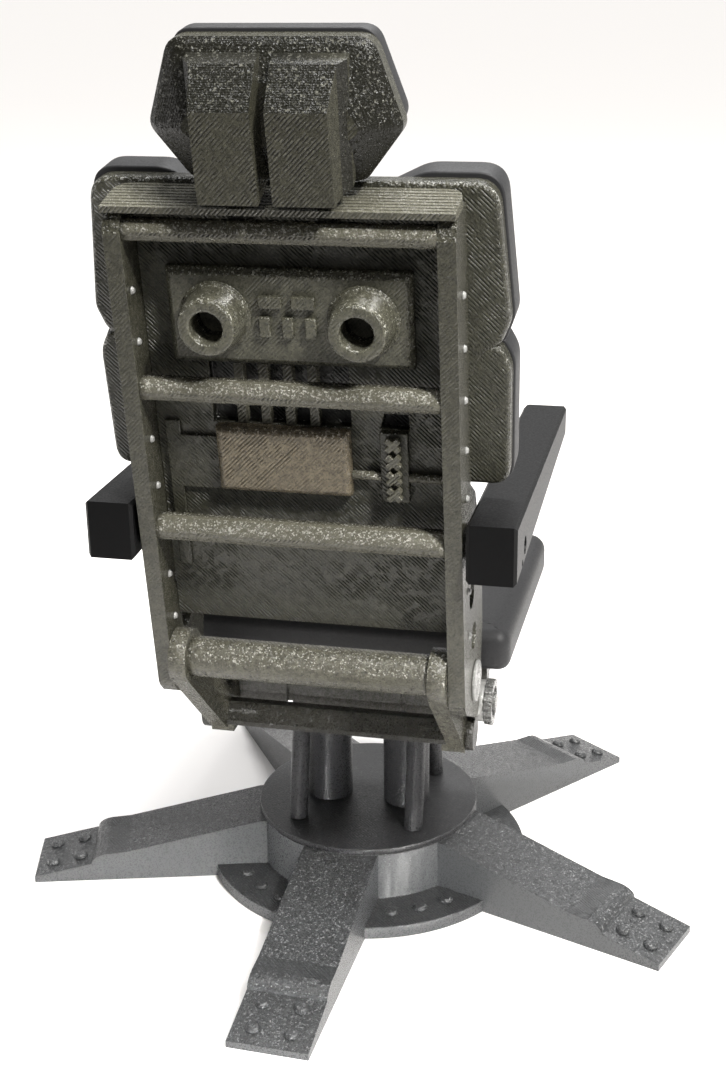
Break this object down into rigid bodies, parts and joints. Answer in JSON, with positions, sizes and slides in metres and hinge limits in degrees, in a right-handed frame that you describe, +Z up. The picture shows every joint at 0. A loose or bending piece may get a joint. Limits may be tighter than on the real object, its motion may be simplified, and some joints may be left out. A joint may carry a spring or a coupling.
{
  "type": "swivel seat scale model",
  "caption": "Printed scale model of a cockpit swivel seat: legged swivel base, reclining ladder-frame back with equipment panel, tilting armrests and sliding headrest.",
  "frame": {"origin": "on the swivel axis, at the underside of the base flange", "axes": "+Z up along the swivel axis; the seat faces -Y and its back faces +Y; +X is the sitter's left"},
  "size_m": [0.1169, 0.1126, 0.1462],
  "materials": {
    "base_grey": "satin dark grey printed plastic with layer lines",
    "frame_grey": "glossy-grained dark grey printed plastic",
    "panel_grey": "dark grey printed plastic with diagonal infill lines",
    "screen_brown": "slightly brown dark grey printed plastic",
    "seat_grey": "dark grey printed plastic with layer lines",
    "pad_grey": "smooth dark grey printed plastic",
    "arm_black": "satin black printed plastic",
    "trim_grey": "lighter grey printed plastic"
  },
  "bodies": {
    "base": {"base_hub": "base_grey", "leg_1": "base_grey", "leg_2": "base_grey", "leg_3": "base_grey", "leg_4": "base_grey", "leg_5": "base_grey", "base_bolts": "base_grey", "swivel_bush": "trim_grey"},
    "seat": {"turntable": "base_grey", "swivel_circlip": "trim_grey", "column_left": "base_grey", "column_right": "base_grey", "struts": "base_grey", "seat_pan": "seat_grey", "seat_board": "seat_grey", "seat_cushion": "pad_grey", "link_plates": "seat_grey", "knob_screws": "trim_grey", "bracket_left": "frame_grey", "bracket_right": "frame_grey", "lower_crossbar": "frame_grey", "crossbar_bolts": "trim_grey", "pivot_tube": "frame_grey", "pivot_pins": "trim_grey"},
    "knob_left": {"adjuster_knob_left": "trim_grey"},
    "knob_right": {"adjuster_knob_right": "trim_grey"},
    "backrest": {"rail_left": "frame_grey", "rail_right": "frame_grey", "hip_caps": "trim_grey", "crossbar_top": "frame_grey", "crossbar_middle": "frame_grey", "crossbar_bottom": "frame_grey", "back_panel": "panel_grey", "top_ledge": "frame_grey", "upper_shell": "panel_grey", "lower_shell": "panel_grey", "upper_cushion": "pad_grey", "lower_cushion": "pad_grey", "lumbar_pad": "pad_grey", "equipment_box": "panel_grey", "socket_left": "panel_grey", "socket_right": "panel_grey", "box_blocks": "panel_grey", "vent_bars": "panel_grey", "screen_box": "screen_brown", "dial_strip": "panel_grey", "strip_dials": "panel_grey", "feed_pipe": "panel_grey", "side_plate": "panel_grey", "rivets": "frame_grey", "armrest_pins": "trim_grey", "armrest_washers": "trim_grey", "headrest_guides": "trim_grey"},
    "arm_left": {"armrest_left": "arm_black"},
    "arm_right": {"armrest_right": "arm_black"},
    "headrest": {"headrest_shell": "panel_grey", "headrest_pad": "pad_grey", "headrest_blocks": "frame_grey", "headrest_rods": "trim_grey"}
  },
  "joints": [
    {"name": "swivel", "type": "hinge", "parent": "base", "child": "seat", "pos_m": [0, 0, 0.0108], "axis": [0, 0, 1], "continuous": true},
    {"name": "recline", "type": "hinge", "parent": "seat", "child": "backrest", "pos_m": [0, 0.0373, 0.05396], "axis": [-1, 0, 0], "range_deg": [-8, 25]},
    {"name": "arm_left_tilt", "type": "hinge", "parent": "backrest", "child": "arm_left", "pos_m": [0.0279, 0.035, 0.0746], "axis": [-1, 0, 0], "range_deg": [-8, 20]},
    {"name": "arm_right_tilt", "type": "hinge", "parent": "backrest", "child": "arm_right", "pos_m": [-0.0279, 0.035, 0.0746], "axis": [-1, 0, 0], "range_deg": [-8, 20]},
    {"name": "headrest_slide", "type": "slide", "parent": "backrest", "child": "headrest", "axis": [0, 0.1502, 0.9887], "range_m": [0, 0.0035]},
    {"name": "knob_left_turn", "type": "hinge", "parent": "seat", "child": "knob_left", "pos_m": [0.0247, 0.02, 0.042], "axis": [1, 0, 0], "continuous": true},
    {"name": "knob_right_turn", "type": "hinge", "parent": "seat", "child": "knob_right", "pos_m": [-0.0247, 0.02, 0.042], "axis": [-1, 0, 0], "continuous": true}
  ]
}
